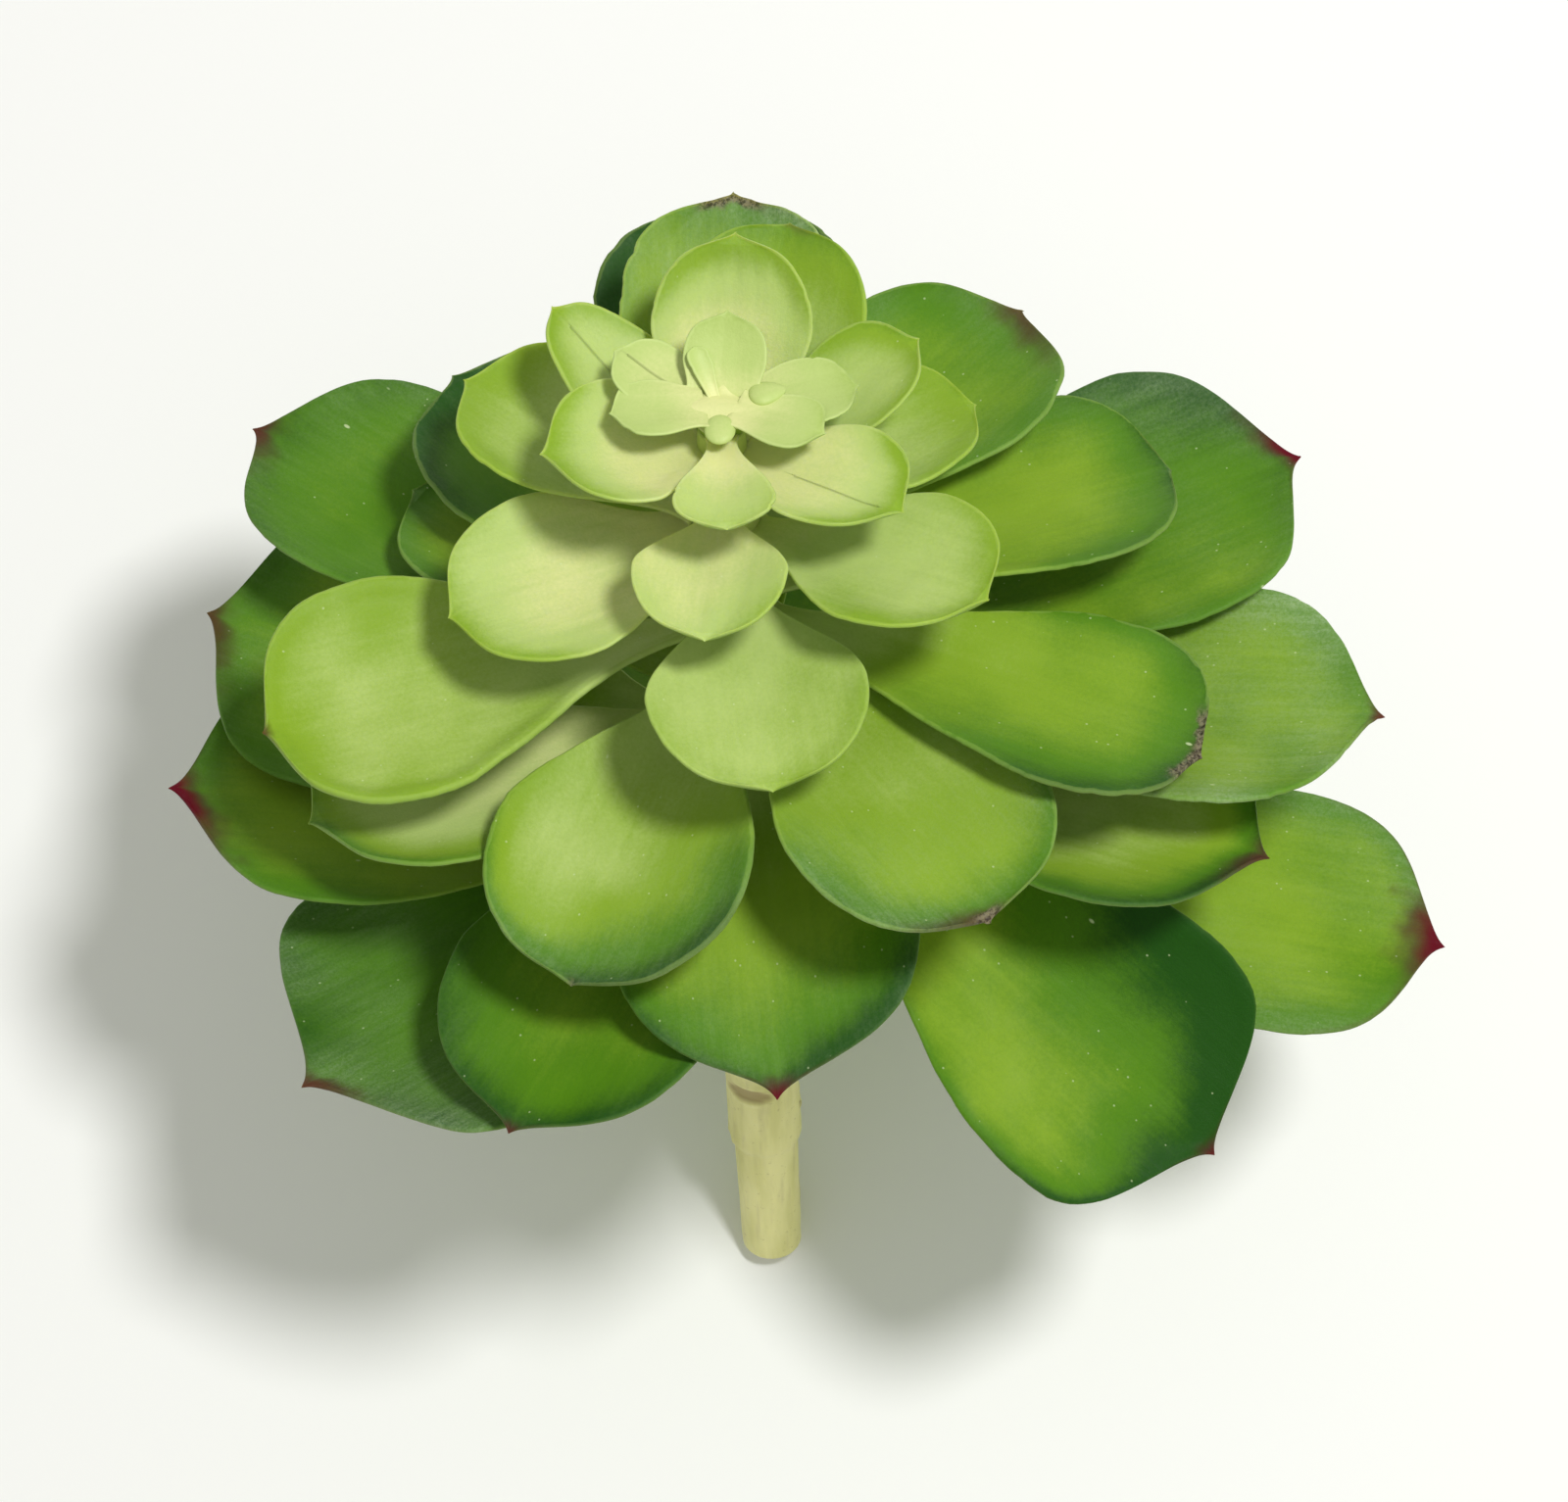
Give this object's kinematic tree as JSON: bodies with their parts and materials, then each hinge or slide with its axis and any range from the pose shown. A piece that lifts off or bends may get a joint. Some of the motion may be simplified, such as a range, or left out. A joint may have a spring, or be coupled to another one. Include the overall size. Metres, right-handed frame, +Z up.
{
  "type": "echeveria rosette cutting",
  "caption": "Domed succulent rosette of spoon-shaped leaves with small red points, on a bare cut stem, laid leaning back on its stem end and low rear leaves.",
  "frame": {"origin": "the middle of the bottom of the bounding box, on the surface that the rosette lies on", "axes": "+Z is up from the surface; the stem's cut end is at the -Y side and the stem leans up toward +Y, 33 degrees off vertical in the YZ plane; +X is to the right of a viewer who looks along +Y"},
  "size_m": [0.198, 0.1594, 0.1751],
  "materials": {
    "stem_skin": "dry satin plant skin",
    "outer_green": "satin, faint bloom, dark red points",
    "middle_green": "satin, faint bloom",
    "upper_green": "satin",
    "heart_green": "satin"
  },
  "bodies": {
    "root": {"stem": "stem_skin", "skirt_leaf_1": "outer_green", "skirt_leaf_2": "outer_green", "skirt_leaf_3": "outer_green", "skirt_leaf_4": "outer_green", "skirt_leaf_5": "outer_green", "skirt_leaf_6": "outer_green", "skirt_leaf_7": "outer_green", "skirt_leaf_8": "outer_green", "outer_leaf_1": "outer_green", "outer_leaf_2": "outer_green", "outer_leaf_3": "outer_green", "outer_leaf_4": "outer_green", "outer_leaf_5": "outer_green", "outer_leaf_6": "outer_green", "outer_leaf_7": "outer_green", "outer_leaf_8": "outer_green", "middle_leaf_1": "middle_green", "middle_leaf_2": "middle_green", "middle_leaf_3": "middle_green", "middle_leaf_4": "middle_green", "middle_leaf_5": "middle_green", "middle_leaf_6": "middle_green", "middle_leaf_7": "middle_green", "middle_leaf_8": "middle_green", "middle_leaf_9": "middle_green", "middle_leaf_10": "middle_green", "middle_leaf_11": "middle_green", "upper_leaf_1": "upper_green", "upper_leaf_2": "upper_green", "upper_leaf_3": "upper_green", "upper_leaf_4": "upper_green", "upper_leaf_5": "upper_green", "upper_leaf_6": "upper_green", "upper_leaf_7": "upper_green", "inner_leaf_1": "heart_green", "inner_leaf_2": "heart_green", "inner_leaf_3": "heart_green", "inner_leaf_4": "heart_green", "inner_leaf_5": "heart_green", "inner_leaf_6": "heart_green", "heart": "heart_green"}
  },
  "joints": []
}
